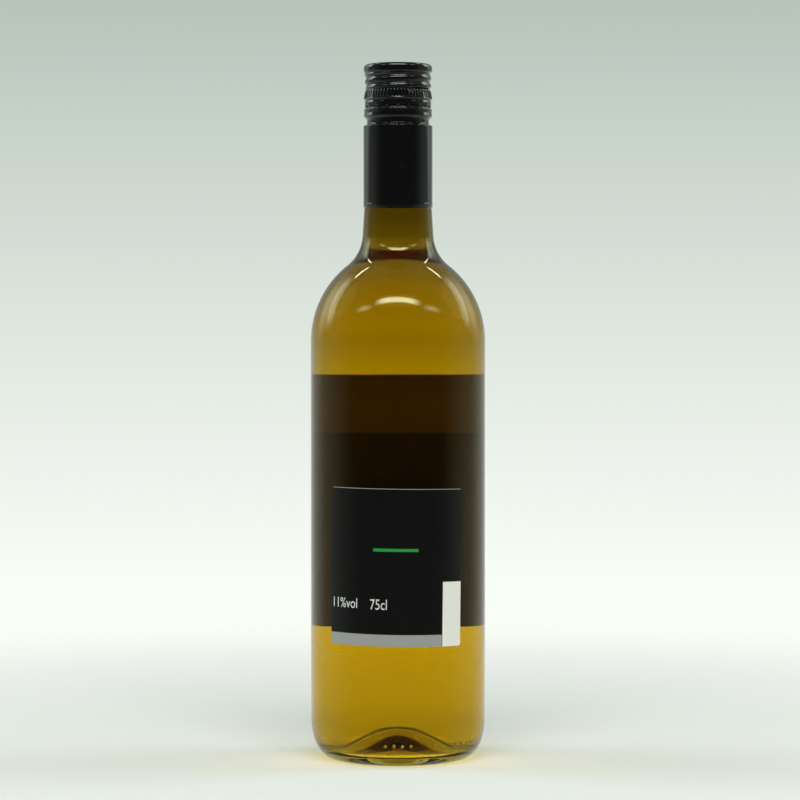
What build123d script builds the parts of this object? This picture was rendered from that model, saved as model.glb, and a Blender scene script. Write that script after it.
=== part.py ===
from build123d import *
import os
from math import asin, cos, degrees, radians, sin, sqrt, tan

# A full 75 cl wine bottle of the straight-sided Bordeaux form, shut by a long-skirt
# aluminium screw closure, with a paper label in front (+Y) and behind (-Y).
# Millimetres. The origin is on the table under the middle of the bottle, +Z up.

# Glass: outside
glass_height = 296.5            # table to lip
body_diameter = 74.8
heel_width = 9.0                # how far the rounded heel runs in under the body
heel_height = 17.0              # and how far up
ring_width = 1.5                # flat ring that the bottle stands on
shoulder_below_lip = 117.9      # lip to the top of the straight body
shoulder_radius = 41.3          # round of the shoulder
hollow_radius = 17.3            # hollow between shoulder and neck
neck_taper = 3.5                # degrees, each side, narrower upwards
lip_round = 1.2

# Glass: inside
body_wall = 2.65
neck_wall = 3.3                 # at the closure's lower edge
mouth_wall = 3.2                # glass round the mouth
bore_depth = 35.0               # how far down the mouth stays straight
inner_heel_width = 9.7
inner_heel_height = 14.0
floor_height = 5.2              # lowest glass inside, over the standing ring
punt_depth = 11.0               # hollow under the bottle
punt_toe_slope = 0.35           # how steeply that hollow leaves the standing ring
punt_glass = 2.9                # glass at the top of that hollow

# Moulded pips on the heel: degrees round from the back, heights on the heel's curve
pip_radius = 0.75
pip_angle = 62.7                # up the heel's curve, from its lowest point
pip_step = 5.6
pip_rows = [(-8.2, 4), (25.1, 1), (41.2, 4)]   # first pip of a row, pips in it

# Wine
fill_below_lip = 56.0           # up inside the closure's skirt
wine_clearance = 0.05           # between wine and glass

# Screw closure, heights given as distances below its flat top
closure_diameter = 29.6
closure_height = 61.3
closure_top_sheet = 0.3
closure_sheet = 0.25
closure_clearance = 0.05        # round the finish
skirt_clearance = 0.075         # between the skirt's lower edge and the neck
undercut_sheet = 0.45           # sheet where it is rolled in under the finish
crown_round = 2.3
roll_round = 0.3                # corner of every rolled ring
crown_bottom = 3.4
thread_zone_top = 4.6
thread_zone_bottom = 10.2
knurl_bottom = 15.0
bead_middle = 16.6
slit_height = 18.2
ring_top = 19.5
ring_bottom = 22.3
undercut_top = 23.9
undercut_bottom = 25.5
skirt_top = 26.4
skirt_bead = 1.3                # above the lower edge

crown_inset = 0.1               # closure's radius less the ring's own radius
thread_inset = 0.6
knurl_root_inset = 1.0
groove_inset = 0.8
bead_inset = 0.5
ring_inset = 0.1
ring_dip = 0.25
undercut_inset = 1.5
skirt_bead_proud = 0.1

thread_pitch = 3.1
thread_groove_radius = 1.1
thread_groove_depth = 0.6
thread_first_turn = -78.0       # degrees round from +X where the groove starts, low down
thread_turns = 2.3
thread_start = 12.1             # groove's lower end, below the closure's top
knurl_count = 60
knurl_radius = 0.4
slit_count = 18
slit_opening = 0.35
slit_bridge = 0.95
slit_depth = 0.5

# Labels
paper = 0.12
glue = 0.03                     # between paper and glass
label_round = 1.0
back_label_width = 60.5         # round the bottle
back_label_height = 65.9
back_label_bottom = 51.1
back_label_tilt = -0.8          # degrees, its right side a little low
back_label_turn = -1.5          # degrees round from the back
front_label_width = 90.0
front_label_height = 110.0
front_label_bottom = 54.0

body_radius = body_diameter / 2
closure_radius = closure_diameter / 2
neck_radius = closure_radius - closure_sheet - skirt_clearance     # at the closure's lower edge
finish_radius = closure_radius - undercut_inset - undercut_sheet - closure_clearance
bore_radius = finish_radius - mouth_wall
closure_base = glass_height + closure_top_sheet - closure_height


def revolved(outline):
    """Turn a closed outline of curves, in radius and height, about the bottle's axis."""
    edges = [edge for curve in outline for edge in curve.edges()]
    return revolve(Plane.XZ * make_face(Wire(edges)), Axis.Z)


def shoulder_run(radius, round_radius, hollow, foot_radius):
    """Edges from the top of a straight body to the foot of a tapered neck, all tangent.

    foot_radius is the neck's radius at the closure's lower edge. Returns the edges and
    the last point, which is on the neck's taper.
    """
    start = glass_height - shoulder_below_lip
    slope = tan(radians(neck_taper))
    round_centre = Vector(radius - round_radius, start)
    # The hollow's centre moves along a line beside the taper until both arcs touch.
    across = foot_radius + closure_base * slope + hollow * cos(radians(neck_taper))
    up = hollow * sin(radians(neck_taper))
    dx = across - round_centre.X
    dz = up - round_centre.Y
    a = 1 + slope**2
    b = dz - slope * dx
    c = dx**2 + dz**2 - (round_radius + hollow) ** 2
    foot = (sqrt(b**2 - a * c) - b) / a
    hollow_centre = Vector(across - slope * foot, up + foot)
    turn = asin((hollow_centre.Y - start) / (round_radius + hollow))
    shoulder = CenterArc(round_centre, round_radius, 0, degrees(turn))
    fillet_arc = CenterArc(hollow_centre, hollow, 180 + degrees(turn), neck_taper - degrees(turn))
    return [shoulder, fillet_arc], fillet_arc @ 1


def heel_run(radius, width, height, bottom):
    """Quarter ellipse from the foot of the wall, at `bottom`, up to the straight body."""
    centre = (radius - width, bottom + height)
    return EllipticalCenterArc(centre, width, height, start_angle=-90, arc_size=90)


def outer_outline():
    """Outside of the glass, from the standing ring up to the lip's outer round."""
    heel = heel_run(body_radius, heel_width, heel_height, 0)
    shoulder, neck_foot = shoulder_run(body_radius, shoulder_radius, hollow_radius, neck_radius)
    taper_top = closure_base + (neck_radius - finish_radius) / tan(radians(neck_taper))
    body = Line(heel @ 1, shoulder[0] @ 0)
    neck = Line(neck_foot, (finish_radius, taper_top))
    finish = Line(neck @ 1, (finish_radius, glass_height - lip_round))
    lip = RadiusArc(finish @ 1, (finish_radius - lip_round, glass_height), -lip_round)
    return [heel, body, *shoulder, neck, finish, lip]


def cavity_outline(gap=0.0):
    """Inside of the glass from the middle of its floor up to the mouth, `gap` clear of it."""
    inner_radius = body_radius - body_wall - gap
    bottom = floor_height + gap
    heel = heel_run(inner_radius, inner_heel_width - gap, inner_heel_height - gap, bottom)
    dome_top = (0, punt_depth + punt_glass + gap)
    dome = Spline(dome_top, heel @ 0, tangents=((1, 0), (1, 0)))
    shoulder, neck_foot = shoulder_run(
        inner_radius,
        shoulder_radius - body_wall - gap,
        hollow_radius + neck_wall + gap,
        neck_radius - neck_wall - gap,
    )
    mouth_radius = bore_radius - gap
    body = Line(heel @ 1, shoulder[0] @ 0)
    neck = Line(neck_foot, (mouth_radius, glass_height - bore_depth))
    bore = Line(neck @ 1, (mouth_radius, glass_height))
    return [dome, heel, body, *shoulder, neck, bore]


def cavity(gap=0.0):
    """The room inside the glass as a solid, up to the lip."""
    edges = cavity_outline(gap)
    top = Line(edges[-1] @ 1, (0, glass_height))
    axis = Line(top @ 1, edges[0] @ 0)
    return revolved([*edges, top, axis])


def heel_point(angle):
    """Point on the heel's curve, `angle` degrees up from the standing ring."""
    return (
        body_radius - heel_width + heel_width * sin(radians(angle)),
        heel_height * (1 - cos(radians(angle))),
    )


def pips():
    """Small moulded pips in rows on the heel."""
    radius, height = heel_point(pip_angle)
    first = Pos(0, -radius, height) * Sphere(pip_radius)
    angles = [start + pip_step * k for start, count in pip_rows for k in range(count)]
    return [Rot(0, 0, angle) * first for angle in angles]


def make_glass():
    outside = outer_outline()
    ring_outer = outside[0] @ 0
    ring_inner = ring_outer - Vector(ring_width, 0)
    ring = Line(ring_inner, ring_outer)
    punt = Spline((0, punt_depth), ring_inner, tangents=((1, 0), (1, -punt_toe_slope)))
    top = Line(outside[-1] @ 1, (0, glass_height))
    axis = Line(top @ 1, punt @ 0)
    blank = revolved([punt, ring, *outside, top, axis])
    return blank + pips() - cavity()


def make_wine():
    level = glass_height - fill_below_lip
    below = Pos(0, 0, level / 2) * Box(body_diameter, body_diameter, level)
    return cavity(wine_clearance) & below


def closure_point(below_top, inset=0.0):
    """Point on the closure: distance below its top, and inset from its full radius."""
    return (closure_radius - inset, closure_base + closure_height - below_top)


def closure_outside():
    """Outline of the rolled closure, from its top down to the skirt's lower edge."""
    return [
        closure_point(0, crown_inset),
        closure_point(crown_bottom, crown_inset),
        closure_point(thread_zone_top, thread_inset),
        closure_point(thread_zone_bottom, thread_inset),
        closure_point(thread_zone_bottom + 2 * roll_round, knurl_root_inset),
        closure_point(knurl_bottom, 0),
        closure_point((knurl_bottom + bead_middle) / 2, groove_inset),
        closure_point(bead_middle, bead_inset),
        closure_point(slit_height, groove_inset - crown_inset),
        closure_point(ring_top - 2 * roll_round, groove_inset),
        closure_point(ring_top, ring_inset),
        closure_point((ring_top + ring_bottom) / 2, ring_inset + ring_dip),
        closure_point(ring_bottom, ring_inset),
        closure_point(undercut_top, undercut_inset),
        closure_point(undercut_bottom, undercut_inset),
        closure_point(skirt_top, 0),
        closure_point(closure_height - skirt_bead - 2 * roll_round, 0),
        closure_point(closure_height - skirt_bead, -skirt_bead_proud),
        closure_point(closure_height - skirt_bead + 2 * roll_round, 0),
    ]


def closure_blank():
    """The closure before its thread, knurls and slits are cut."""
    corners = closure_outside()
    top = (0, corners[0][1])
    bottom = closure_point(closure_height)
    rounds = [crown_round] + [roll_round] * (len(corners) - 1)
    outside = FilletPolyline(top, *corners, bottom, radius=rounds)
    bore = finish_radius + closure_clearance
    skirt_inside = closure_radius - closure_sheet
    inside = Polyline(
        bottom,
        (skirt_inside, closure_base),
        (skirt_inside, closure_point(skirt_top + 2 * closure_sheet)[1]),
        (bore, closure_point(undercut_bottom + 2 * closure_sheet)[1]),
        (bore, glass_height),
        (0, glass_height),
        top,
    )
    return revolved([outside, inside])


def thread_groove():
    """Helical groove where the closure is rolled into the bottle's thread."""
    path_radius = closure_radius - thread_inset + thread_groove_radius - thread_groove_depth
    helix = Helix(thread_pitch, thread_pitch * thread_turns, path_radius)
    section = Plane(origin=helix @ 0, z_dir=helix % 0) * Circle(thread_groove_radius)
    groove = sweep(section, path=helix, is_frenet=True)
    start = closure_point(thread_start)[1]
    return Pos(0, 0, start) * Rot(0, 0, thread_first_turn) * groove


def knurls():
    """Upright flutes round the flared band."""
    low_radius, low_height = closure_point(knurl_bottom - roll_round)
    top_radius, top_height = closure_point(thread_zone_bottom, knurl_root_inset)
    low = Vector(low_radius, 0, low_height)
    high = Vector(top_radius, 0, top_height)
    middle = Plane(origin=(low + high) / 2, z_dir=high - low)
    flute = middle * Cylinder(knurl_radius, (high - low).length)
    return [Rot(0, 0, 360 * k / knurl_count) * flute for k in range(knurl_count)]


def slits():
    """Perforation that parts the closure from its skirt: short slits between bridges."""
    outer = closure_radius
    root = closure_radius - groove_inset - slit_depth
    height = closure_point(slit_height)[1]
    arc = 360 / slit_count - degrees(slit_bridge / closure_radius)
    section = Plane.XZ * Pos((root + outer) / 2, height) * Rectangle(outer - root, slit_opening)
    slit = revolve(section, Axis.Z, revolution_arc=arc)
    turn = 90 - arc / 2 - 180 / slit_count
    return [Rot(0, 0, turn + 360 * k / slit_count) * slit for k in range(slit_count)]


def make_closure():
    return closure_blank() - thread_groove() - knurls() - slits()


def make_label(width, height, bottom, turn, tilt=0.0, round_radius=label_round):
    """Paper wrapped on the body: a thin tube cut to a rounded, slightly tilted sheet."""
    inner = body_radius + glue
    outer = inner + paper
    tube = Cylinder(outer, 2 * height) - Cylinder(inner, 2 * height)
    half_angle = width / 2 / outer
    sheet = RectangleRounded(2 * outer * sin(half_angle), height, round_radius)
    cut = extrude(Plane.XZ * Rot(0, 0, tilt) * sheet, 2 * outer)
    return Pos(0, 0, bottom + height / 2) * Rot(0, 0, turn) * (tube & cut)


def make_back_label():
    return make_label(
        back_label_width, back_label_height, back_label_bottom, back_label_turn, back_label_tilt
    )


def make_front_label():
    return make_label(front_label_width, front_label_height, front_label_bottom, 180)


def write(node, solid):
    """Save one sub-part under its node's name."""
    solid = solid.solids()[0] if len(solid.solids()) == 1 else solid
    print(f"{node}: {len(solid.solids())} solid, {solid.volume / 1000:.1f} cm3")
    export_step(solid, f"parts/{node}.step")


os.makedirs("parts", exist_ok=True)
write("glass_bottle", make_glass())
write("wine", make_wine())
write("screw_cap", make_closure())
write("back_label", make_back_label())
write("front_label", make_front_label())
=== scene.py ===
import bmesh
import bpy
from math import asin, ceil, cos, exp, hypot, pi, radians, sin, sqrt, tan
from mathutils import Matrix, Vector


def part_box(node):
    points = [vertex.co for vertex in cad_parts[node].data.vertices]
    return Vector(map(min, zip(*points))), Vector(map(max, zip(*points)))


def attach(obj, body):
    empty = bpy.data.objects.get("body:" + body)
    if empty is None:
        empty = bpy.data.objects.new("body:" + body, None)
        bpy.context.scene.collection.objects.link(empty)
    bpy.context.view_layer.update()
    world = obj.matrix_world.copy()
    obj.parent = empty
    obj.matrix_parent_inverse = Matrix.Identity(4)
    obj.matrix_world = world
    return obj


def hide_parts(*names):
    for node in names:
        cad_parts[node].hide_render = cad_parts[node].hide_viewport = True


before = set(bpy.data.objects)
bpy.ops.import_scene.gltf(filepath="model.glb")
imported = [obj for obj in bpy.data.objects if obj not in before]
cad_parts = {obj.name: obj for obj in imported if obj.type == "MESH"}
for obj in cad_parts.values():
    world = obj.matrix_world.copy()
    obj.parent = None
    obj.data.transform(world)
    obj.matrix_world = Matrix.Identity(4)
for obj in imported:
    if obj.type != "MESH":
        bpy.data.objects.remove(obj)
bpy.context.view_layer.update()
scene = bpy.context.scene
mm = 0.001

glassLow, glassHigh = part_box("glass_bottle")
capLow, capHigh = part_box("screw_cap")
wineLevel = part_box("wine")[1][2]
print("stage: frame loaded")


# Shader helpers

def newMaterial(name):
    material = bpy.data.materials.new(name)
    material.use_nodes = True
    return material, material.node_tree, material.node_tree.nodes["Principled BSDF"]


def addNode(tree, kind, inputs=None, **settings):
    node = tree.nodes.new(kind)
    for key, value in settings.items():
        setattr(node, key, value)
    for key, value in (inputs or {}).items():
        node.inputs[key].default_value = value
    return node


def objectCoords(tree):
    return addNode(tree, "ShaderNodeTexCoord").outputs["Object"]


def mathNode(tree, operation, first, second=0.0):
    node = addNode(tree, "ShaderNodeMath", operation=operation)
    for socket, value in zip(node.inputs, (first, second)):
        if isinstance(value, (int, float)):
            socket.default_value = value
        else:
            tree.links.new(value, socket)
    return node.outputs[0]


def mixColour(tree, factor, first, second):
    node = addNode(tree, "ShaderNodeMix", data_type="RGBA")
    for socket, value in zip((node.inputs[0], node.inputs[6], node.inputs[7]), (factor, first, second)):
        if isinstance(value, (int, float)):
            socket.default_value = value
        elif isinstance(value, tuple):
            socket.default_value = (*value, 1)
        else:
            tree.links.new(value, socket)
    return node.outputs[2]


def makeSurfaceNoise():
    # Bump and fine roughness change for moulded glass, lacquer and paper.
    group = bpy.data.node_groups.new("surfaceNoise", "ShaderNodeTree")
    face = group.interface
    defaults = {"Scale": 100.0, "Detail": 2.0, "Distance": 0.0001, "Rough Low": 0.0, "Rough High": 0.1}
    for name, value in defaults.items():
        face.new_socket(name, in_out="INPUT", socket_type="NodeSocketFloat").default_value = value
    face.new_socket("Vector", in_out="INPUT", socket_type="NodeSocketVector")
    face.new_socket("Normal", in_out="OUTPUT", socket_type="NodeSocketVector")
    face.new_socket("Roughness", in_out="OUTPUT", socket_type="NodeSocketFloat")
    face.new_socket("Value", in_out="OUTPUT", socket_type="NodeSocketFloat")
    start = group.nodes.new("NodeGroupInput")
    end = group.nodes.new("NodeGroupOutput")
    noise = group.nodes.new("ShaderNodeTexNoise")
    bump = group.nodes.new("ShaderNodeBump")
    spread = group.nodes.new("ShaderNodeMapRange")
    link = group.links.new
    link(start.outputs["Vector"], noise.inputs["Vector"])
    link(start.outputs["Scale"], noise.inputs["Scale"])
    link(start.outputs["Detail"], noise.inputs["Detail"])
    link(noise.outputs["Fac"], bump.inputs["Height"])
    link(start.outputs["Distance"], bump.inputs["Distance"])
    link(noise.outputs["Fac"], spread.inputs["Value"])
    link(start.outputs["Rough Low"], spread.inputs["To Min"])
    link(start.outputs["Rough High"], spread.inputs["To Max"])
    link(bump.outputs["Normal"], end.inputs["Normal"])
    link(spread.outputs["Result"], end.inputs["Roughness"])
    link(noise.outputs["Fac"], end.inputs["Value"])
    return group


def makeFieldMask():
    # 1 inside a rectangle of the UV map, 0 outside, with a soft edge.
    group = bpy.data.node_groups.new("fieldMask", "ShaderNodeTree")
    face = group.interface
    face.new_socket("UV", in_out="INPUT", socket_type="NodeSocketVector")
    for name, value in (("Left", 0.0), ("Right", 1.0), ("Bottom", 0.0), ("Top", 1.0), ("Softness", 0.002)):
        face.new_socket(name, in_out="INPUT", socket_type="NodeSocketFloat").default_value = value
    face.new_socket("Mask", in_out="OUTPUT", socket_type="NodeSocketFloat")
    start = group.nodes.new("NodeGroupInput")
    end = group.nodes.new("NodeGroupOutput")
    split = group.nodes.new("ShaderNodeSeparateXYZ")
    group.links.new(start.outputs["UV"], split.inputs[0])

    def edge(value, limit, rising):
        high, low = (value, limit) if rising else (limit, value)
        inside = mathNode(group, "SUBTRACT", high, low)
        ramp = addNode(group, "ShaderNodeMath", operation="DIVIDE", use_clamp=True)
        group.links.new(inside, ramp.inputs[0])
        group.links.new(start.outputs["Softness"], ramp.inputs[1])
        return ramp.outputs[0]

    mask = edge(split.outputs[0], start.outputs["Left"], True)
    for axis, name, rising in ((0, "Right", False), (1, "Bottom", True), (1, "Top", False)):
        mask = mathNode(group, "MULTIPLY", mask, edge(split.outputs[axis], start.outputs[name], rising))
    group.links.new(mask, end.inputs["Mask"])
    return group


surfaceNoise = makeSurfaceNoise()
fieldMask = makeFieldMask()


def useNoise(tree, vector, **values):
    node = addNode(tree, "ShaderNodeGroup", node_tree=surfaceNoise)
    tree.links.new(vector, node.inputs["Vector"])
    for name, value in values.items():
        node.inputs[name.replace("_", " ")].default_value = value
    return node


def useField(tree, uv, left, right, bottom, top, softness=0.004):
    node = addNode(tree, "ShaderNodeGroup", node_tree=fieldMask)
    tree.links.new(uv, node.inputs["UV"])
    values = {"Left": left, "Right": right, "Bottom": bottom, "Top": top, "Softness": softness}
    for name, value in values.items():
        node.inputs[name].default_value = value
    return node.outputs["Mask"]


def letLampsThrough(tree, shader, tint):
    # Lamps shine through clear pieces, as they do in life, instead of casting a solid shadow.
    clear = addNode(tree, "ShaderNodeBsdfTransparent", {"Color": (*tint, 1)})
    light = addNode(tree, "ShaderNodeLightPath")
    mix = addNode(tree, "ShaderNodeMixShader")
    tree.links.new(light.outputs["Is Shadow Ray"], mix.inputs[0])
    tree.links.new(shader.outputs[0], mix.inputs[1])
    tree.links.new(clear.outputs[0], mix.inputs[2])
    tree.links.new(mix.outputs[0], tree.nodes["Material Output"].inputs["Surface"])


# Mesh helpers

def newPiece(name, mesh, material, smooth=True):
    piece = bpy.data.objects.new(name, mesh)
    scene.collection.objects.link(piece)
    mesh.materials.append(material)
    for face in mesh.polygons:
        face.use_smooth = smooth
    return piece


def arcPoints(centre, radius, start, end, steps):
    turns = [start + (end - start) * k / steps for k in range(steps + 1)]
    return [(centre[0] + radius * cos(a), centre[1] + radius * sin(a)) for a in turns]


def quarterEllipse(centre, width, height, steps):
    turns = [pi / 2 * (k / steps - 1) for k in range(steps + 1)]
    return [(centre[0] + width * cos(a), centre[1] + height * sin(a)) for a in turns]


def easedRun(start, end, steps):
    # From a flat top down to a flat foot, on half a cosine.
    across, drop = end[0] - start[0], end[1] - start[1]
    shares = [k / steps for k in range(steps + 1)]
    return [(start[0] + across * t, start[1] + drop * (0.5 - 0.5 * cos(pi * t))) for t in shares]


def lathe(name, outline, material, turns, closed, shift=None):
    # Turn (radius, height) points about Z. shift(radius, height, angle) may change a radius.
    mesh = bmesh.new()
    rings = []
    for radius, height in outline:
        if radius < 1e-7:
            rings.append([mesh.verts.new((0, 0, height))])
            continue
        ring = []
        for k in range(turns):
            angle = 2 * pi * k / turns
            r = shift(radius, height, angle) if shift else radius
            ring.append(mesh.verts.new((r * cos(angle), r * sin(angle), height)))
        rings.append(ring)
    pairs = list(zip(rings, rings[1:]))
    if closed:
        pairs.append((rings[-1], rings[0]))
    for a, b in pairs:
        for k in range(turns):
            corners = []
            after = (k + 1) % turns
            for vert in (a[k % len(a)], a[after % len(a)], b[after % len(b)], b[k % len(b)]):
                if vert not in corners:
                    corners.append(vert)
            if len(corners) > 2:
                mesh.faces.new(corners)
    bmesh.ops.recalc_face_normals(mesh, faces=mesh.faces)
    data = bpy.data.meshes.new(name)
    mesh.to_mesh(data)
    mesh.free()
    return newPiece(name, data, material)


def roundedCorners(points, radii, steps=5):
    # Replace each inner corner by an arc of its own radius.
    result = [points[0]]
    for before, corner, after, radius in zip(points, points[1:], points[2:], radii):
        a = Vector(before) - Vector(corner)
        b = Vector(after) - Vector(corner)
        half = a.angle(b) / 2
        reach = min(radius / tan(half), a.length * 0.49, b.length * 0.49)
        radius = reach * tan(half)
        middle = Vector(corner) + (a.normalized() + b.normalized()).normalized() * radius / sin(half)
        first = Vector(corner) + a.normalized() * reach - middle
        last = Vector(corner) + b.normalized() * reach - middle
        for k in range(steps + 1):
            way = first.lerp(last, k / steps).normalized() * radius
            result.append(tuple(middle + way))
    result.append(points[-1])
    return result


def refine(outline, low, high, step):
    # Add points so that no stretch between two heights is longer than the step.
    result = [outline[0]]
    for (r0, z0), (r1, z1) in zip(outline, outline[1:]):
        inside = max(z0, z1) > low and min(z0, z1) < high
        parts = max(1, ceil(hypot(r1 - r0, z1 - z0) / step)) if inside else 1
        result += [(r0 + (r1 - r0) * k / parts, z0 + (z1 - z0) * k / parts) for k in range(1, parts + 1)]
    return result


def asMesh(piece, material):
    # Evaluated geometry as a plain mesh with its own material.
    graph = bpy.context.evaluated_depsgraph_get()
    mesh = bpy.data.meshes.new_from_object(piece.evaluated_get(graph))
    name = piece.name
    bpy.data.objects.remove(piece)
    done = bpy.data.objects.new(name, mesh)
    scene.collection.objects.link(done)
    for face in mesh.polygons:
        face.use_smooth = True
    if not mesh.materials:
        mesh.materials.append(material)
    return done


def makeRingTree(material):
    # Geometry Nodes: copies of the piece stand in a ring about Z.
    tree = bpy.data.node_groups.new("ringOfCopies", "GeometryNodeTree")
    face = tree.interface
    face.new_socket("Geometry", in_out="INPUT", socket_type="NodeSocketGeometry")
    face.new_socket("Count", in_out="INPUT", socket_type="NodeSocketInt")
    for name in ("First Angle", "Step Angle"):
        face.new_socket(name, in_out="INPUT", socket_type="NodeSocketFloat")
    face.new_socket("Geometry", in_out="OUTPUT", socket_type="NodeSocketGeometry")
    start = tree.nodes.new("NodeGroupInput")
    end = tree.nodes.new("NodeGroupOutput")
    points = tree.nodes.new("GeometryNodePoints")
    index = tree.nodes.new("GeometryNodeInputIndex")
    angle = addNode(tree, "ShaderNodeMath", operation="MULTIPLY_ADD")
    turn = tree.nodes.new("ShaderNodeCombineXYZ")
    copies = tree.nodes.new("GeometryNodeInstanceOnPoints")
    realize = tree.nodes.new("GeometryNodeRealizeInstances")
    paint = tree.nodes.new("GeometryNodeSetMaterial")
    paint.inputs["Material"].default_value = material
    link = tree.links.new
    link(start.outputs["Count"], points.inputs["Count"])
    link(index.outputs[0], angle.inputs[0])
    link(start.outputs["Step Angle"], angle.inputs[1])
    link(start.outputs["First Angle"], angle.inputs[2])
    link(angle.outputs[0], turn.inputs["Z"])
    link(points.outputs[0], copies.inputs["Points"])
    link(start.outputs["Geometry"], copies.inputs["Instance"])
    link(turn.outputs[0], copies.inputs["Rotation"])
    link(copies.outputs[0], realize.inputs[0])
    link(realize.outputs[0], paint.inputs["Geometry"])
    link(paint.outputs[0], end.inputs["Geometry"])
    return tree


def ringOfCopies(piece, material, count, firstAngle, stepAngle):
    tree = makeRingTree(material)
    modifier = piece.modifiers.new("ringOfCopies", "NODES")
    modifier.node_group = tree
    for item in tree.interface.items_tree:
        if item.in_out == "INPUT" and item.name in ("Count", "First Angle", "Step Angle"):
            values = {"Count": count, "First Angle": firstAngle, "Step Angle": stepAngle}
            modifier[item.identifier] = values[item.name]
    bpy.context.view_layer.update()
    return asMesh(piece, material)


# Bottle glass

bottleValues = {
    "wall": 2.65 * mm,
    "neckWall": 3.3 * mm,
    "heelWidth": 9.0 * mm,
    "heelHeight": 17.0 * mm,
    "ringWidth": 1.5 * mm,
    "shoulderBelowLip": 117.9 * mm,
    "shoulderRadius": 41.3 * mm,
    "hollowRadius": 17.3 * mm,
    "neckDiameter": 28.95 * mm,
    "neckTaper": radians(3.5),
    "finishDiameter": 25.6 * mm,
    "lipRound": 1.2 * mm,
    "bore": 19.2 * mm,
    "boreDepth": 35.0 * mm,
    "innerHeelWidth": 9.7 * mm,
    "innerHeelHeight": 14.0 * mm,
    "floor": 5.2 * mm,
    "punt": 11.0 * mm,
    "puntGlass": 2.9 * mm,
    "wineReach": 0.06 * mm,              # how far the wine goes into the wall
    "meniscus": 1.3 * mm,
    "meniscusReach": 1.2 * mm,
    "surfaceRings": 24,
    "seam": 0.5 * mm,                    # last ring before a corner, so that shading stays true up to it
    "turns": 256,
    "glassTint": (0.83, 0.71, 0.27),
    "neckTint": (0.31, 0.235, 0.04),
    "tintChange": (0.150, 0.232),        # heights between which one tint turns into the other
    "mirror": (1.0, 0.86, 0.56),
    "wetMirror": (0.1, 0.1, 0.1),
    "wineAbsorbs": (0.003, 0.0073, 0.07),   # share lost per millimetre, red, green, blue
}
bodyRadius = (glassHigh[0] - glassLow[0]) / 2
lipHeight = glassHigh[2]
capBase = capLow[2]


def shoulderRun(radius, roundRadius, hollow, neckRadius):
    # Points up the shoulder and the hollow over it to the foot of the tapered neck.
    taper = bottleValues["neckTaper"]
    start = lipHeight - bottleValues["shoulderBelowLip"]
    slope = tan(taper)
    centre = (radius - roundRadius, start)
    across = neckRadius + capBase * slope + hollow * cos(taper)
    up = hollow * sin(taper)
    dx = across - centre[0]
    dz = up - centre[1]
    b = dz - slope * dx
    foot = (sqrt(b**2 - (1 + slope**2) * (dx**2 + dz**2 - (roundRadius + hollow) ** 2)) - b) / (1 + slope**2)
    hollowCentre = (across - slope * foot, up + foot)
    turn = asin((hollowCentre[1] - start) / (roundRadius + hollow))
    shoulder = arcPoints(centre, roundRadius, 0, turn, 44)
    neckFoot = arcPoints(hollowCentre, hollow, pi + turn, pi + taper, 36)
    return shoulder + neckFoot[1:]


def outerGlass():
    v = bottleValues
    width, height = v["heelWidth"], v["heelHeight"]
    heel = quarterEllipse((bodyRadius - width, height), width, height, 36)
    finish = v["finishDiameter"] / 2
    taperTop = capBase + (v["neckDiameter"] / 2 - finish) / tan(v["neckTaper"])
    run = shoulderRun(bodyRadius, v["shoulderRadius"], v["hollowRadius"], v["neckDiameter"] / 2)
    nearTop = taperTop - v["seam"]
    neck = [(finish + v["seam"] * tan(v["neckTaper"]), nearTop), (finish, taperTop)]
    lip = arcPoints((finish - v["lipRound"], lipHeight - v["lipRound"]), v["lipRound"], 0, pi / 2, 6)
    return heel + run + neck + lip


def innerGlass(reach=0.0):
    # Inside of the glass from the middle of the floor up to the mouth, reach into the wall.
    v = bottleValues
    radius = bodyRadius - v["wall"] + reach
    width = v["innerHeelWidth"] + reach
    height = v["innerHeelHeight"] + reach
    bottom = v["floor"] - reach
    dome = easedRun((0, v["punt"] + v["puntGlass"] - reach), (radius - width, bottom), 36)
    heel = quarterEllipse((radius - width, bottom + height), width, height, 36)
    run = shoulderRun(
        radius, v["shoulderRadius"] - v["wall"] + reach, v["hollowRadius"] + v["neckWall"] - reach,
        v["neckDiameter"] / 2 - v["neckWall"] + reach)
    bore = v["bore"] / 2 + reach
    mouth = [(bore, lipHeight - v["boreDepth"]), (bore, lipHeight - v["seam"]), (bore, lipHeight)]
    return dome + heel[1:] + run + mouth


def glassMaterial():
    material, tree, shader = newMaterial("tintedBottleGlass")
    coords = objectCoords(tree)
    height = addNode(tree, "ShaderNodeSeparateXYZ")
    tree.links.new(coords, height.inputs[0])
    # Thick glass in the neck looks darker and browner than the thin wall of the body.
    low, high = bottleValues["tintChange"]
    ramp = addNode(tree, "ShaderNodeMapRange", {"From Min": low, "From Max": high})
    tree.links.new(height.outputs["Z"], ramp.inputs["Value"])
    tint = mixColour(tree, ramp.outputs[0], bottleValues["glassTint"], bottleValues["neckTint"])
    noise = useNoise(tree, coords, Scale=45.0, Detail=1.0, Distance=0.00012, Rough_Low=0.0, Rough_High=0.02)
    tree.links.new(tint, shader.inputs["Base Color"])
    tree.links.new(noise.outputs["Normal"], shader.inputs["Normal"])
    tree.links.new(noise.outputs["Roughness"], shader.inputs["Roughness"])
    shader.inputs["IOR"].default_value = 1.52
    # Where wine wets the glass there is hardly any mirror.
    wet = addNode(tree, "ShaderNodeAttribute", attribute_name="wet")
    mirror = mixColour(tree, wet.outputs["Fac"], bottleValues["mirror"], bottleValues["wetMirror"])
    tree.links.new(mirror, shader.inputs["Specular Tint"])
    shader.inputs["Transmission Weight"].default_value = 1.0
    letLampsThrough(tree, shader, (0.85, 0.84, 0.62))
    return material


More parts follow.
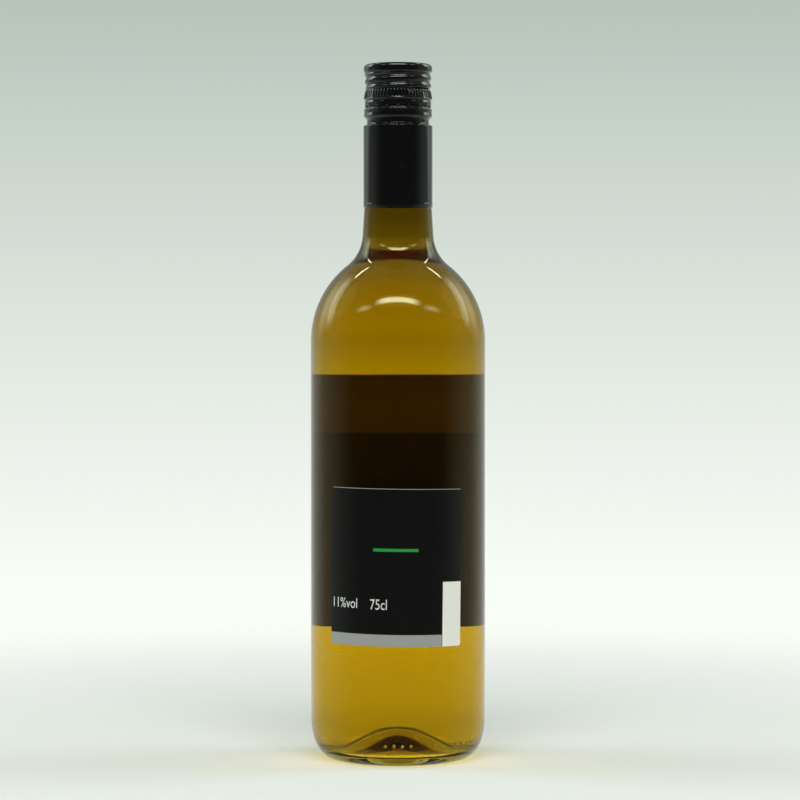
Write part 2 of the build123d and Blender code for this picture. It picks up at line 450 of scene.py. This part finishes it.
def wineMaterial():
    material, tree, shader = newMaterial("whiteWine")
    shader.inputs["Base Color"].default_value = (1, 1, 1, 1)
    shader.inputs["Roughness"].default_value = 0.0
    shader.inputs["IOR"].default_value = 1.34
    shader.inputs["Specular Tint"].default_value = (*bottleValues["wetMirror"], 1)
    shader.inputs["Transmission Weight"].default_value = 1.0
    rates = [rate / mm for rate in bottleValues["wineAbsorbs"]]
    density = max(rates) * 1.02
    colour = tuple(1 - rate / density for rate in rates)
    absorb = addNode(tree, "ShaderNodeVolumeAbsorption", {"Color": (*colour, 1), "Density": density})
    tree.links.new(absorb.outputs[0], tree.nodes["Material Output"].inputs["Volume"])
    letLampsThrough(tree, shader, (0.97, 0.95, 0.85))
    return material


tintedGlass = glassMaterial()
whiteWine = wineMaterial()


def makeBottle():
    v = bottleValues
    outside = outerGlass()
    ringInner = outside[0][0] - v["ringWidth"]
    punt = easedRun((0, v["punt"]), (ringInner, 0), 36)
    outline = punt + outside + list(reversed(innerGlass()))
    bottle = lathe("bottleGlass", outline, tintedGlass, v["turns"], False)
    wet = bottle.data.attributes.new("wet", "FLOAT", "POINT")
    inside = len(bottle.data.vertices) - v["turns"] * (len(innerGlass()) - 1) - 1
    for vert in bottle.data.vertices:
        wet.data[vert.index].value = float(vert.index >= inside and vert.co.z < wineLevel)
    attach(bottle, "root")
    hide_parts("glass_bottle")


def makeWine():
    # The wine reaches just into the wall, so that no air shows between them.
    v = bottleValues
    level = wineLevel
    wall = innerGlass(v["wineReach"])
    top = [(r, z) for r, z in wall if z < level]
    (r0, z0), (r1, z1) = top[-1], wall[len(top)]
    edge = r0 + (r1 - r0) * (level - z0) / (z1 - z0)
    below = v["seam"] / (level - z0)
    top.append((edge + (r0 - edge) * below, level - v["seam"]))
    surface = []
    for k in range(v["surfaceRings"] + 1):
        inward = edge * k / v["surfaceRings"]
        surface.append((edge - inward, level + v["meniscus"] * (exp(-inward / v["meniscusReach"]) - 0.25)))
    wine = lathe("wineFill", top + surface, whiteWine, v["turns"], False)
    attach(wine, "root")
    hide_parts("wine")


pipValues = {
    "radius": 0.75 * mm,
    "upTheHeel": radians(62.7),
    "step": radians(5.6),
    "rows": ((-8.2, 4), (25.1, 1), (41.2, 4)),   # first pip in degrees from the back, pips in the row
}


def makePips():
    # Small moulded pips on the heel.
    v = pipValues
    low = bodyRadius - bottleValues["heelWidth"] * (1 - sin(v["upTheHeel"]))
    up = bottleValues["heelHeight"] * (1 - cos(v["upTheHeel"]))
    for number, (first, count) in enumerate(v["rows"], 1):
        mesh = bmesh.new()
        place = Matrix.Translation((0, -low, up))
        bmesh.ops.create_icosphere(mesh, subdivisions=3, radius=v["radius"], matrix=place)
        data = bpy.data.meshes.new("pip")
        mesh.to_mesh(data)
        mesh.free()
        seed = newPiece(f"heelPips{number}", data, tintedGlass)
        row = ringOfCopies(seed, tintedGlass, count, radians(first), v["step"])
        row.name = f"heelPips{number}"
        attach(row, "root")


makeBottle()
makeWine()
makePips()
print("stage: bottle and wine made")


# Screw closure

capValues = {
    "radius": 14.8 * mm,
    "bore": 12.86 * mm,
    "boreTop": 26.0 * mm,          # all heights on the closure count down from its top
    "boreFoot": 26.9 * mm,
    "bareFrom": 26.6 * mm,
    "crownRound": 2.3 * mm,
    "rollRound": 0.32 * mm,
    "sheet": 0.25 * mm,
    "turns": 288,
    "pitch": 3.26 * mm,
    "grooveDepth": 0.62 * mm,
    "grooveWidth": 0.75 * mm,
    "grooveStart": 11.6 * mm,
    "grooveZone": (2.0, 13.5),     # heights in mm that the groove can reach
    "fineZone": (3.0 * mm, 13.5 * mm, 0.16 * mm),   # from, to, ring spacing
    "grooveTurns": 2.3,
    "grooveFirst": radians(-78),
    "fade": 0.07,                  # turns over which the groove runs out
    "knurls": 60,
    "knurlWidth": 0.8 * mm,
    "knurlProud": 0.26 * mm,
    "knurlRoot": 0.05 * mm,
    "knurlEnd": 0.15,              # share of the full height at both ends
    "bridges": 18,
    "bridgeWidth": 0.95 * mm,
    "bridgeSeat": 0.62,            # inset in mm
    "bridgeBow": 0.06 * mm,
    "bridgeRidge": 0.05 * mm,
    "slitHeight": 18.2,            # mm
    "slitDepth": 0.55 * mm,
    "slitHalf": 0.32 * mm,
}
# Corners of the rolled sheet: distance below the top and inset from the full radius, millimetres
capCorners = (
    (0, 0.1), (3.3, 0.1), (4.0, 0.66), (4.5, 0.36), (5.1, 0.5), (10.2, 0.6), (10.84, 1.0),
    (14.35, 0.42), (14.9, 0.14), (15.7, 0.75), (16.6, 0.5), (17.95, 0.62), (18.03, 1.15), (18.37, 1.15),
    (18.45, 0.62), (18.9, 0.8), (19.5, 0.1), (20.9, 0.38), (22.3, 0.1), (23.9, 1.5), (25.5, 1.5),
    (26.4, 0.0), (59.36, 0.0), (60.0, -0.1), (60.64, 0.0),
)
# Where a corner's round isn't the usual roll, mm
cornerRounds = {1: 0.9, 2: 0.12, 3: 0.2, 8: 0.12, 11: 0.04, 12: 0.04, 13: 0.04, 14: 0.04, 17: 0.9}
# A knurl's course down the flared band, in the same terms
knurlPath = (
    (11.0, 0.99), (11.5, 0.90), (12.6, 0.70), (13.6, 0.54), (14.35, 0.40), (14.9, 0.37), (15.1, 0.50),
)
capTop = capHigh[2]


def capPoint(below, inset=0.0):
    return (capValues["radius"] - inset * mm, capTop - below * mm)


def grooveDepth(height, angle):
    # The helix where the sheet is rolled into the bottle's thread.
    v = capValues
    turned = ((angle - v["grooveFirst"]) % (2 * pi)) / (2 * pi)
    depth = 0.0
    for lap in range(ceil(v["grooveTurns"]) + 1):
        along = lap + turned
        if along > v["grooveTurns"]:
            break
        fade = min(1.0, along / v["fade"], (v["grooveTurns"] - along) / v["fade"])
        fade = fade * fade * (3 - 2 * fade)
        away = height - (capTop - v["grooveStart"] + v["pitch"] * along)
        depth = max(depth, fade * v["grooveDepth"] * exp(-((away / v["grooveWidth"]) ** 2)))
    return depth


def capShift(radius, height, angle):
    # Only the outside of the sheet is rolled.
    below = (capTop - height) / mm
    first, last = capValues["grooveZone"]
    if radius < capValues["radius"] * 0.9 or not first < below < last:
        return radius
    return radius - grooveDepth(height, angle)


def lacquerMaterial():
    material, tree, shader = newMaterial("blackLacquer")
    coords = objectCoords(tree)
    noise = useNoise(
        tree, coords, Scale=700.0, Detail=2.0, Distance=0.000002, Rough_Low=0.03, Rough_High=0.09)
    wear = useNoise(tree, coords, Scale=260.0, Detail=4.0)
    worn = mathNode(tree, "GREATER_THAN", wear.outputs["Value"], 0.73)
    colour = mixColour(tree, worn, (0.004, 0.004, 0.004), (0.02, 0.02, 0.021))
    # The skirt is bare aluminium inside.
    split = addNode(tree, "ShaderNodeSeparateXYZ")
    tree.links.new(coords, split.inputs[0])
    flat = addNode(tree, "ShaderNodeCombineXYZ")
    tree.links.new(split.outputs["X"], flat.inputs["X"])
    tree.links.new(split.outputs["Y"], flat.inputs["Y"])
    radius = addNode(tree, "ShaderNodeVectorMath", operation="LENGTH")
    tree.links.new(flat.outputs[0], radius.inputs[0])
    bare = mathNode(tree, "LESS_THAN", radius.outputs["Value"], capValues["radius"] - 0.1 * mm)
    below = mathNode(tree, "LESS_THAN", split.outputs["Z"], capTop - capValues["bareFrom"])
    bare = mathNode(tree, "MULTIPLY", bare, below)
    colour = mixColour(tree, bare, colour, (0.72, 0.71, 0.68))
    tree.links.new(bare, shader.inputs["Metallic"])
    tree.links.new(colour, shader.inputs["Base Color"])
    tree.links.new(noise.outputs["Normal"], shader.inputs["Normal"])
    tree.links.new(noise.outputs["Roughness"], shader.inputs["Roughness"])
    shader.inputs["Specular IOR Level"].default_value = 1.0
    return material


lacquer = lacquerMaterial()


def makeCap():
    v = capValues
    corners = [capPoint(*corner) for corner in capCorners]
    top = (0, capTop)
    bottom = capPoint((capTop - capLow[2]) / mm)
    rounds = [v["crownRound"]] + [v["rollRound"]] * (len(corners) - 1)
    for k, value in cornerRounds.items():
        rounds[k] = value * mm
    outside = roundedCorners([top, *corners, bottom], rounds)
    first, last, step = v["fineZone"]
    outside = refine(outside, capTop - last, capTop - first, step)
    skirt = v["radius"] - v["sheet"]
    inside = [
        (skirt, capLow[2]), (skirt, capTop - v["boreFoot"]), (v["bore"], capTop - v["boreTop"]),
        (v["bore"], lipHeight), (0, lipHeight),
    ]
    cap = lathe("screwClosure", outside + inside, lacquer, v["turns"], False, capShift)
    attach(cap, "root")
    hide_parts("screw_cap")


def makeKnurls():
    # Upright ridges that stand on the flared band.
    v = capValues
    mesh = bmesh.new()
    rows = []
    for k, (below, inset) in enumerate(knurlPath):
        middle = capPoint(below, inset)
        proud = v["knurlProud"] * (v["knurlEnd"] if k in (0, len(knurlPath) - 1) else 1.0)
        row = []
        for j in range(5):
            a = pi * j / 4
            out = middle[0] - v["knurlRoot"] + proud * sin(a)
            row.append(mesh.verts.new((out, v["knurlWidth"] / 2 * cos(a), middle[1])))
        rows.append(row)
    for a, b in zip(rows, rows[1:]):
        for j in range(4):
            mesh.faces.new((a[j], a[j + 1], b[j + 1], b[j]))
    mesh.faces.new(rows[0])
    mesh.faces.new(list(reversed(rows[-1])))
    for a, b in zip(rows, rows[1:]):
        mesh.faces.new((a[4], a[0], b[0], b[4]))
    bmesh.ops.recalc_face_normals(mesh, faces=mesh.faces)
    data = bpy.data.meshes.new("knurl")
    mesh.to_mesh(data)
    mesh.free()
    seed = newPiece("closureKnurls", data, lacquer)
    ridges = ringOfCopies(seed, lacquer, v["knurls"], 0.0, 2 * pi / v["knurls"])
    ridges.name = "closureKnurls"
    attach(ridges, "root")


def makeBridges():
    # Short bridges left between the slits, across the groove over the rolled ring.
    v = capValues
    middle = capPoint(v["slitHeight"], v["bridgeSeat"])
    half = v["bridgeWidth"] / 2
    tall = v["slitHalf"]
    mesh = bmesh.new()
    rows = []
    for k in range(7):
        across = -half + 2 * half * k / 6
        out = middle[0] + v["bridgeBow"] * sqrt(max(0.0, 1 - (across / half) ** 2))
        deep = middle[0] - v["slitDepth"]
        rows.append([
            mesh.verts.new((r, across, middle[1] + z))
            for r, z in ((deep, -tall), (out, -tall), (out + v["bridgeRidge"], 0), (out, tall), (deep, tall))
        ])
    for a, b in zip(rows, rows[1:]):
        for j in range(5):
            mesh.faces.new((a[j], a[(j + 1) % 5], b[(j + 1) % 5], b[j]))
    mesh.faces.new(rows[0])
    mesh.faces.new(list(reversed(rows[-1])))
    bmesh.ops.recalc_face_normals(mesh, faces=mesh.faces)
    data = bpy.data.meshes.new("bridge")
    mesh.to_mesh(data)
    mesh.free()
    seed = newPiece("closureBridges", data, lacquer)
    bridges = ringOfCopies(seed, lacquer, v["bridges"], -pi / 2, 2 * pi / v["bridges"])
    bridges.name = "closureBridges"
    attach(bridges, "root")


makeCap()
makeKnurls()
makeBridges()
print("stage: closure made")


# Labels

labelValues = {
    "paper": 0.12 * mm,
    "lift": 0.03 * mm,
    "corner": 1.0 * mm,
    "columns": 72,
    "black": (0.0036, 0.0036, 0.0032),
    "grey": (0.38, 0.38, 0.37),
    "cream": (0.92, 0.91, 0.83),
    "green": (0.015, 0.36, 0.06),
    "backBlack": (0.012, 0.020, 0.008),
    "backBand": (0.090, 0.105, 0.030),
    "cutEdge": (0.45, 0.45, 0.42),
    "cutFrom": 0.9976,           # share of the height where the pale top edge starts
    "figureProud": 0.02 * mm,
    "capitalShare": 0.7,         # height of a capital in a letter's size
}
backLabel = {
    "width": 60.5 * mm, "height": 65.9 * mm, "bottom": 51.1 * mm,
    "turn": radians(-1.5), "tilt": radians(-0.8),
}
frontLabel = {"width": 90.0 * mm, "height": 110.0 * mm, "bottom": 54.0 * mm, "turn": pi, "tilt": 0.0}
# Edges of the printed fields as shares of a sheet's width and height
backFields = {"greyTop": 0.077, "creamLeft": 0.842, "creamTop": 0.412, "ruleLow": 0.600, "ruleHigh": 0.623}
bandBottom = (138.4 * mm - frontLabel["bottom"]) / frontLabel["height"]


def wrap(place, across, up, radius):
    # A point of the flat sheet, from its middle, on the bottle's wall.
    x = across * cos(place["tilt"]) - up * sin(place["tilt"])
    z = across * sin(place["tilt"]) + up * cos(place["tilt"])
    angle = x / radius - pi / 2 + place["turn"]
    return Vector((radius * cos(angle), radius * sin(angle), place["bottom"] + place["height"] / 2 + z))


def makeLabel(name, place, material):
    v = labelValues
    half = place["width"] / 2
    corner = v["corner"]
    inner = bodyRadius + v["lift"]
    outer = inner + v["paper"]
    straight = place["width"] - 2 * corner
    flat = [-half + corner + straight * k / v["columns"] for k in range(v["columns"] + 1)]
    ends = [half - corner + corner * sin(pi / 2 * k / 6) for k in range(1, 7)]
    columns = [-x for x in reversed(ends)] + flat + ends
    mesh = bmesh.new()
    uvLayer = mesh.loops.layers.uv.new("print")
    verts = []
    for x in columns:
        over = max(0.0, abs(x) - (half - corner))
        top = place["height"] / 2 - corner + sqrt(max(corner**2 - over**2, 0.0))
        section = []
        for radius, up in ((outer, -top), (outer, top), (inner, top), (inner, -top)):
            uv = (x / place["width"] + 0.5, up / place["height"] + 0.5)
            section.append((mesh.verts.new(wrap(place, x, up, radius)), uv))
        verts.append(section)
    for a, b in zip(verts, verts[1:]):
        for j in range(4):
            corners = (a[j], a[(j + 1) % 4], b[(j + 1) % 4], b[j])
            face = mesh.faces.new([corner[0] for corner in corners])
            for loop, corner in zip(face.loops, corners):
                loop[uvLayer].uv = corner[1]
    for end in (verts[0], verts[-1]):
        face = mesh.faces.new([corner[0] for corner in end])
        for loop, corner in zip(face.loops, end):
            loop[uvLayer].uv = corner[1]
    bmesh.ops.recalc_face_normals(mesh, faces=mesh.faces)
    data = bpy.data.meshes.new(name)
    mesh.to_mesh(data)
    mesh.free()
    return newPiece(name, data, material, smooth=False)


def paperMaterial(name, fields, base):
    # Printed paper: fields is a list of (mask box, colour) painted over the base, with a pale cut edge.
    material, tree, shader = newMaterial(name)
    uv = addNode(tree, "ShaderNodeUVMap", uv_map="print").outputs[0]
    colour = base
    for box, paint in fields:
        colour = mixColour(tree, useField(tree, uv, *box), colour, paint)
    rim = useField(tree, uv, -1, 2, -1, labelValues["cutFrom"], 0.0012)
    colour = mixColour(tree, mathNode(tree, "SUBTRACT", 1.0, rim), colour, labelValues["cutEdge"])
    coords = objectCoords(tree)
    noise = useNoise(
        tree, coords, Scale=1400.0, Detail=3.0, Distance=0.00002, Rough_Low=0.30, Rough_High=0.42)
    tree.links.new(colour, shader.inputs["Base Color"])
    tree.links.new(noise.outputs["Normal"], shader.inputs["Normal"])
    tree.links.new(noise.outputs["Roughness"], shader.inputs["Roughness"])
    shader.inputs["Specular IOR Level"].default_value = 0.6
    return material


def makeLabels():
    v = labelValues
    f = backFields
    back = paperMaterial("backLabelPaper", [
        ((-1, f["creamLeft"], -1, f["greyTop"]), v["grey"]),
        ((f["creamLeft"], 2, -1, f["creamTop"]), v["cream"]),
        ((0.34, 0.66, f["ruleLow"], f["ruleHigh"]), v["green"]),
    ], v["black"])
    front = paperMaterial("frontLabelPaper", [((-1, 2, bandBottom, 2), v["backBand"])], v["backBlack"])
    for name, place, material, node in (
        ("backLabelSheet", backLabel, back, "back_label"),
        ("frontLabelSheet", frontLabel, front, "front_label"),
    ):
        sheet = makeLabel(name, place, material)
        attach(sheet, "root")
        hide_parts(node)


def inkMaterial():
    material, tree, shader = newMaterial("whiteInk")
    noise = useNoise(
        tree, objectCoords(tree), Scale=1200.0, Detail=2.0, Distance=0.00001, Rough_Low=0.35, Rough_High=0.5)
    colour = mixColour(tree, noise.outputs["Value"], (0.72, 0.73, 0.72), (0.84, 0.84, 0.83))
    tree.links.new(colour, shader.inputs["Base Color"])
    tree.links.new(noise.outputs["Roughness"], shader.inputs["Roughness"])
    return material


# Figures on the back label: words, middle across and up the sheet, height of a capital in mm, width factor
figures = (
    ("contentFigure", "75cl", -7.0, -15.7, 4.4, 0.74),
    ("strengthFigure", "11%vol", -23.0, -15.5, 4.2, 0.78),
)


def makeFigures():
    ink = inkMaterial()
    for name, words, across, up, tall, narrow in figures:
        curve = bpy.data.curves.new(name, "FONT")
        curve.body = words
        curve.align_x = "CENTER"
        curve.align_y = "CENTER"
        curve.size = tall * mm / labelValues["capitalShare"]
        curve.extrude = 0.015 * mm
        curve.resolution_u = 4
        text = bpy.data.objects.new(name, curve)
        scene.collection.objects.link(text)
        text = asMesh(text, ink)
        mesh = text.data
        mesh.materials.clear()
        mesh.materials.append(ink)
        surface = bodyRadius + labelValues["lift"] + labelValues["paper"] + labelValues["figureProud"]
        for vert in mesh.vertices:
            x, y, z = vert.co
            vert.co = wrap(backLabel, across * mm + x * narrow, up * mm + y, surface + z)
        for face in mesh.polygons:
            face.use_smooth = False
        text.name = name
        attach(text, "root")


makeLabels()
makeFigures()
print("stage: labels made")


# Floor, surroundings, lamps and camera

stageValues = {
    "floorRadius": 1.6,
    "floor": (0.86, 0.88, 0.85),
    "floorFade": (0.10, 0.62),      # from solid to clear, metres from the bottle's axis
    "floorVeil": 0.9,               # share of the floor that gloss doesn't see
    "low": (0.95, 0.99, 0.93),      # backdrop at and under the floor's far edge
    "high": (0.47, 0.55, 0.49),     # backdrop over the bottle
    "rise": (-0.085, 0.115),        # sine of the elevation from low to high
    "fill": 0.55,                   # even light from all round
}


def backdropColour(tree, direction):
    split = addNode(tree, "ShaderNodeSeparateXYZ")
    tree.links.new(direction, split.inputs[0])
    low, high = stageValues["rise"]
    rise = addNode(tree, "ShaderNodeMapRange", {"From Min": low, "From Max": high})
    tree.links.new(split.outputs["Z"], rise.inputs["Value"])
    colour = mixColour(tree, rise.outputs[0], stageValues["low"], stageValues["high"])
    return colour, split.outputs["Y"]


# Soft lamps that only gloss sees: direction, half width, half height, soft share, strength and
# sideways tilt in degrees. Those off the middle come in mirrored pairs.
middleLamp = ((0.0, -0.64, 0.77), 0.58, 0.085, 0.6, 28.0, 0)
sideLamps = (
    ((0.66, -0.48, 0.57), 0.26, 0.09, 1.0, 8.0, -20),
    ((0.48, 0.38, 0.79), 0.13, 0.022, 0.5, 32.0, 45),
    ((0.80, 0.37, 0.47), 0.16, 0.42, 0.6, 4.0, -30),
    ((0.755, 0.53, 0.385), 0.36, 0.42, 0.9, 2.6, -30),
)


def makeSoftLamp():
    # 1 inside a tilted rectangle round a direction, fading towards its edges.
    group = bpy.data.node_groups.new("softLamp", "ShaderNodeTree")
    face = group.interface
    for name in ("Direction", "Centre", "Across", "Up"):
        face.new_socket(name, in_out="INPUT", socket_type="NodeSocketVector")
    for name in ("Half Width", "Half Height", "Soft Share"):
        face.new_socket(name, in_out="INPUT", socket_type="NodeSocketFloat")
    face.new_socket("Mask", in_out="OUTPUT", socket_type="NodeSocketFloat")
    start = group.nodes.new("NodeGroupInput")
    end = group.nodes.new("NodeGroupOutput")

    def along(name):
        dot = addNode(group, "ShaderNodeVectorMath", operation="DOT_PRODUCT")
        group.links.new(start.outputs["Direction"], dot.inputs[0])
        group.links.new(start.outputs[name], dot.inputs[1])
        return dot.outputs["Value"]

    ahead = along("Centre")
    mask = mathNode(group, "GREATER_THAN", ahead, 0.05)
    for axis, size in (("Across", "Half Width"), ("Up", "Half Height")):
        away = mathNode(group, "ABSOLUTE", mathNode(group, "DIVIDE", along(axis), ahead))
        share = mathNode(group, "SUBTRACT", 1.0, mathNode(group, "DIVIDE", away, start.outputs[size]))
        ramp = addNode(group, "ShaderNodeMapRange", interpolation_type="SMOOTHSTEP")
        group.links.new(share, ramp.inputs["Value"])
        group.links.new(start.outputs["Soft Share"], ramp.inputs["From Max"])
        mask = mathNode(group, "MULTIPLY", mask, ramp.outputs[0])
    group.links.new(mask, end.inputs["Mask"])
    return group


def useSoftLamps(tree, direction):
    total = 0.0
    lampGroup = makeSoftLamp()
    softLamps = [middleLamp]
    for (x, y, z), *sizes, tilt in sideLamps:
        softLamps += [((-x, y, z), *sizes, -tilt), ((x, y, z), *sizes, tilt)]
    for place, halfWidth, halfHeight, soft, strength, tilt in softLamps:
        centre = Vector(place).normalized()
        across = centre.cross(Vector((0, 0, 1))).normalized()
        across = Matrix.Rotation(radians(tilt), 3, centre) @ across
        node = addNode(tree, "ShaderNodeGroup", node_tree=lampGroup)
        tree.links.new(direction, node.inputs["Direction"])
        node.inputs["Centre"].default_value = centre
        node.inputs["Across"].default_value = across
        node.inputs["Up"].default_value = across.cross(centre)
        node.inputs["Half Width"].default_value = halfWidth
        node.inputs["Half Height"].default_value = halfHeight
        node.inputs["Soft Share"].default_value = soft
        shine = mathNode(tree, "MULTIPLY", node.outputs["Mask"], strength)
        total = mathNode(tree, "ADD", shine, total)
    return total


def makeWorld():
    world = bpy.data.worlds.new("studio")
    scene.world = world
    world.use_nodes = True
    tree = world.node_tree
    direction = addNode(tree, "ShaderNodeTexCoord").outputs["Generated"]
    colour, depth = backdropColour(tree, direction)
    light = addNode(tree, "ShaderNodeLightPath")

    # Gloss and clear pieces see a dark room in front, lighter sides and the pale backdrop behind.
    def alongDepth(start, end, low, high, kind="LINEAR"):
        limits = {"From Min": start, "From Max": end, "To Min": low, "To Max": high}
        ramp = addNode(tree, "ShaderNodeMapRange", limits, interpolation_type=kind)
        tree.links.new(depth, ramp.inputs["Value"])
        return ramp.outputs[0]

    room = alongDepth(-0.45, 0.45, 0.10, 1.0)
    sides = alongDepth(-0.6, 0.15, 0.03, 0.32, "SMOOTHSTEP")
    rear = alongDepth(0.35, 1.0, 0.0, 0.60)
    camera = light.outputs["Is Camera Ray"]
    gloss = light.outputs["Is Glossy Ray"]
    through = light.outputs["Is Transmission Ray"]
    mirrored = mathNode(tree, "MAXIMUM", mathNode(tree, "SUBTRACT", gloss, through), 0.0)
    known = mathNode(tree, "MAXIMUM", gloss, through)
    lit = mathNode(tree, "ADD", sides, rear)
    lit = mathNode(tree, "ADD", lit, useSoftLamps(tree, direction))
    strength = mathNode(tree, "MAXIMUM", camera, mathNode(tree, "MULTIPLY", through, room))
    strength = mathNode(tree, "ADD", strength, mathNode(tree, "MULTIPLY", mirrored, lit))
    other = mathNode(tree, "SUBTRACT", 1.0, mathNode(tree, "MAXIMUM", camera, known))
    strength = mathNode(tree, "ADD", strength, mathNode(tree, "MULTIPLY", other, stageValues["fill"]))
    back = tree.nodes["Background"]
    tree.links.new(colour, back.inputs["Color"])
    tree.links.new(strength, back.inputs["Strength"])


def makeFloor():
    mesh = bmesh.new()
    bmesh.ops.create_circle(mesh, cap_ends=True, segments=96, radius=stageValues["floorRadius"])
    data = bpy.data.meshes.new("floor")
    mesh.to_mesh(data)
    mesh.free()
    material, tree, shader = newMaterial("paleFloor")
    shader.inputs["Base Color"].default_value = (*stageValues["floor"], 1)
    shader.inputs["Roughness"].default_value = 0.9
    shader.inputs["Specular IOR Level"].default_value = 0.1
    # A little way from the bottle the floor fades into the backdrop.
    coords = objectCoords(tree)
    distance = addNode(tree, "ShaderNodeVectorMath", operation="LENGTH")
    tree.links.new(coords, distance.inputs[0])
    near, far = stageValues["floorFade"]
    limits = {"From Min": near, "From Max": far}
    fade = addNode(tree, "ShaderNodeMapRange", limits, interpolation_type="SMOOTHSTEP")
    tree.links.new(distance.outputs["Value"], fade.inputs["Value"])
    clear = addNode(tree, "ShaderNodeBsdfTransparent")
    mix = addNode(tree, "ShaderNodeMixShader")
    # Gloss hardly sees the floor, so that it doesn't veil the glass.
    light = addNode(tree, "ShaderNodeLightPath")
    gloss, through = light.outputs["Is Glossy Ray"], light.outputs["Is Transmission Ray"]
    mirrored = mathNode(tree, "SUBTRACT", gloss, through)
    veil = mathNode(tree, "MULTIPLY", mirrored, stageValues["floorVeil"])
    tree.links.new(mathNode(tree, "MAXIMUM", fade.outputs[0], veil), mix.inputs[0])
    tree.links.new(shader.outputs[0], mix.inputs[1])
    tree.links.new(clear.outputs[0], mix.inputs[2])
    tree.links.new(mix.outputs[0], tree.nodes["Material Output"].inputs["Surface"])
    floor = newPiece("floor", data, material, smooth=False)


def makeLamp(name, place, size, power):
    lamp = bpy.data.lights.new(name, "AREA")
    lamp.shape = "RECTANGLE"
    lamp.size, lamp.size_y = size
    lamp.energy = power
    holder = bpy.data.objects.new(name, lamp)
    scene.collection.objects.link(holder)
    holder.location = place
    holder.visible_glossy = False
    holder.rotation_euler = (Vector(lampTarget) - Vector(place)).to_track_quat("-Z", "Y").to_euler()


lampTarget = (0, 0, 0.18)
# Name, place, size and power
lampValues = (
    ("topLamp", (0.0, -0.80, 1.15), (1.0, 0.4), 9.0),
    ("leftLamp", (-0.95, 0.2, 0.8), (0.5, 0.6), 4.0),
    ("rightLamp", (0.95, 0.2, 0.8), (0.5, 0.6), 4.0),
)
cameraValues = {"side": 0.86 * mm, "distance": 1.252, "height": 0.1784, "aim": 0.1533, "lens": 131.4}


def makeCamera():
    v = cameraValues
    data = bpy.data.cameras.new("camera")
    data.lens = v["lens"]
    data.sensor_width = 36
    data.clip_end = 50
    camera = bpy.data.objects.new("camera", data)
    scene.collection.objects.link(camera)
    camera.location = (v["side"], -v["distance"], v["height"])
    aim = Vector((v["side"], 0, v["aim"])) - camera.location
    camera.rotation_euler = aim.to_track_quat("-Z", "Y").to_euler()
    scene.camera = camera


makeWorld()
makeFloor()
for name, place, size, power in lampValues:
    makeLamp(name, place, size, power)
makeCamera()
scene.view_settings.view_transform = "Standard"
scene.cycles.max_bounces = 24
scene.cycles.transmission_bounces = 24
print("stage: studio made")
